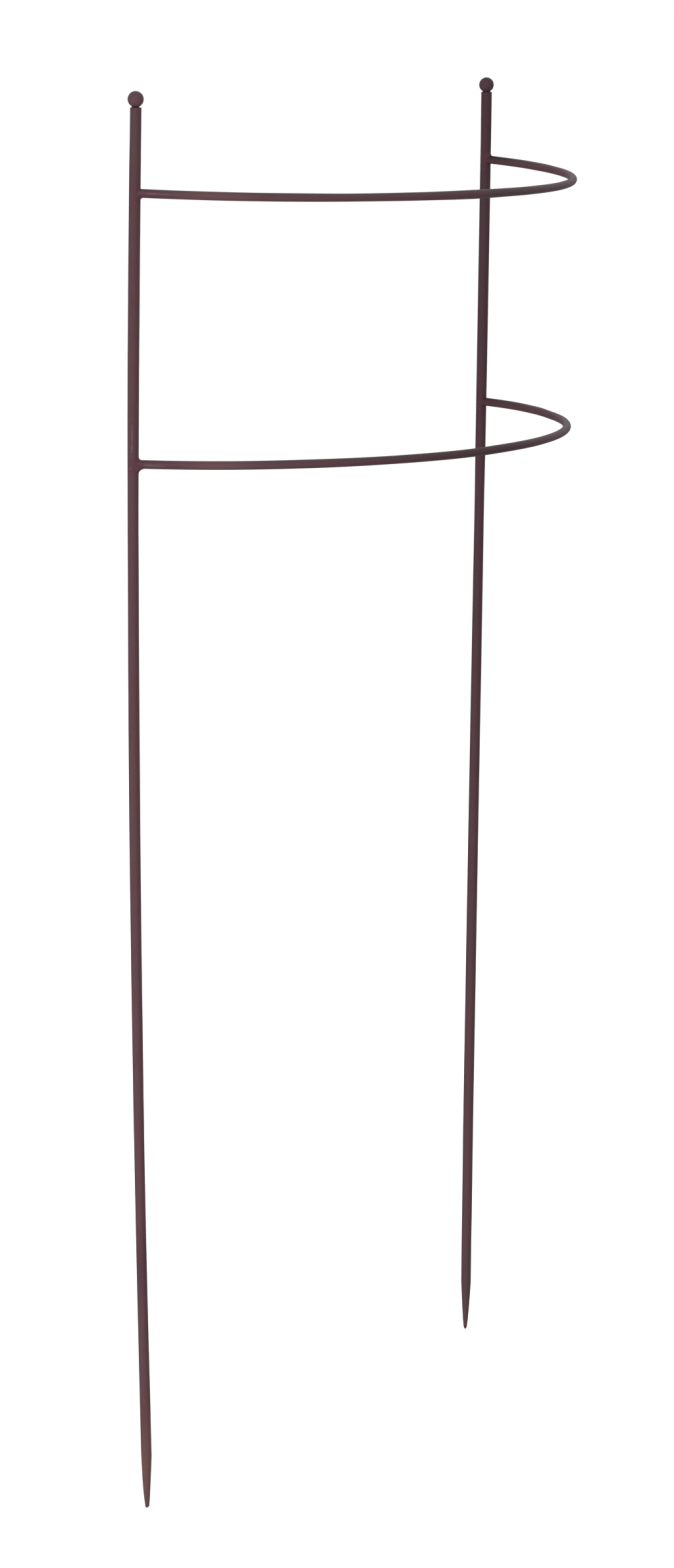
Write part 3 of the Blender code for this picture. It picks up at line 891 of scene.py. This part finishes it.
def make_floor():
    edit = bmesh.new()
    bmesh.ops.create_circle(edit, cap_ends=True, segments=FLOOR_SIDES, radius=FLOOR_RADIUS)
    mesh = bpy.data.meshes.new("studio_floor")
    edit.to_mesh(mesh)
    edit.free()
    material = bpy.data.materials.new("studio_white")
    material.use_nodes = True
    shader = material.node_tree.nodes["Principled BSDF"]
    shader.inputs["Base Color"].default_value = (FLOOR_WHITE, FLOOR_WHITE, FLOOR_WHITE, 1)
    shader.inputs["Roughness"].default_value = 1
    shader.inputs["Specular IOR Level"].default_value = 0
    shader.inputs["Emission Color"].default_value = (1, 1, 1, 1)
    shader.inputs["Emission Strength"].default_value = FLOOR_GLOW
    mesh.materials.append(material)
    floor = bpy.data.objects.new("studio_floor", mesh)
    floor.location.z = -FLOOR_DROP
    floor.visible_diffuse = False
    floor.visible_glossy = False
    floor.visible_shadow = False
    scene.collection.objects.link(floor)


def add_softbox(name, place, target, size, power, shines):
    light = bpy.data.lights.new(name, "AREA")
    light.shape = "RECTANGLE"
    light.size, light.size_y = size
    light.energy = power
    lamp = bpy.data.objects.new(name, light)
    lamp.location = place
    lamp.rotation_euler = (Vector(target) - Vector(place)).to_track_quat("-Z", "Y").to_euler()
    lamp.visible_glossy = shines
    scene.collection.objects.link(lamp)


def make_sky():
    """Pale surround: white to look at, and as a light and in reflections brighter above than below."""
    world = bpy.data.worlds.new("studio_sky")
    world.use_nodes = True
    tree = world.node_tree
    seen = tree.nodes["Background"]
    seen.inputs["Color"].default_value = (1, 1, 1, 1)
    seen.inputs["Strength"].default_value = 1.0
    dim = tree.nodes.new("ShaderNodeBackground")
    axes = add_split(tree, tree.nodes.new("ShaderNodeTexCoord").outputs["Generated"])
    path = tree.nodes.new("ShaderNodeLightPath")
    shiny = path.outputs["Is Glossy Ray"]
    as_light = add_range(tree, axes["Z"], *SKY_BAND, SKY_BELOW, SKY_ABOVE)
    as_reflection = add_range(tree, axes["Z"], *GLOSS_BAND, GLOSS_BELOW, GLOSS_ABOVE)
    lit = add_math(tree, "MULTIPLY", as_light, add_math(tree, "SUBTRACT", 1, shiny))
    mirrored = add_math(tree, "MULTIPLY", shiny, as_reflection)
    tree.links.new(add_math(tree, "ADD", lit, mirrored), dim.inputs["Strength"])
    mix = tree.nodes.new("ShaderNodeMixShader")
    tree.links.new(path.outputs["Is Camera Ray"], mix.inputs["Fac"])
    tree.links.new(dim.outputs["Background"], mix.inputs[1])
    tree.links.new(seen.outputs["Background"], mix.inputs[2])
    tree.links.new(mix.outputs["Shader"], tree.nodes["World Output"].inputs["Surface"])
    scene.world = world


def make_camera():
    data = bpy.data.cameras.new("photo_camera")
    data.sensor_width = SENSOR
    data.lens = CAMERA_LENS
    data.clip_end = CAMERA_FAR
    camera = bpy.data.objects.new("photo_camera", data)
    heading = Matrix.Rotation(-CAMERA_YAW, 4, "Z") @ Matrix.Rotation(math.pi / 2 - CAMERA_PITCH, 4, "X")
    camera.matrix_world = Matrix.Translation(CAMERA_PLACE) @ heading @ Matrix.Rotation(CAMERA_ROLL, 4, "Z")
    scene.collection.objects.link(camera)
    scene.camera = camera


def make_studio():
    scene.view_settings.view_transform = "Standard"
    make_floor()
    make_sky()
    for name, softbox in SOFTBOXES.items():
        add_softbox(name, **softbox)
    make_camera()


def main():
    coats = {name: make_coat(name + "_coat", coat) for name, coat in COATS.items()}
    for side_name in STAKES:
        make_stake(side_name, coats[side_name + "_stake"])
        make_neck(side_name, coats["neck"])
        make_ball(side_name, coats["ball"])
        make_spatter(side_name, coats["spatter_highlight"])
    for level in HOOPS:
        make_hoop(level, coats[level + "_hoop"])
        make_hoop_runs(level, coats["run"])
        for side_name in STAKES:
            make_bead(level, side_name, coats["bead"])
    make_studio()


main()
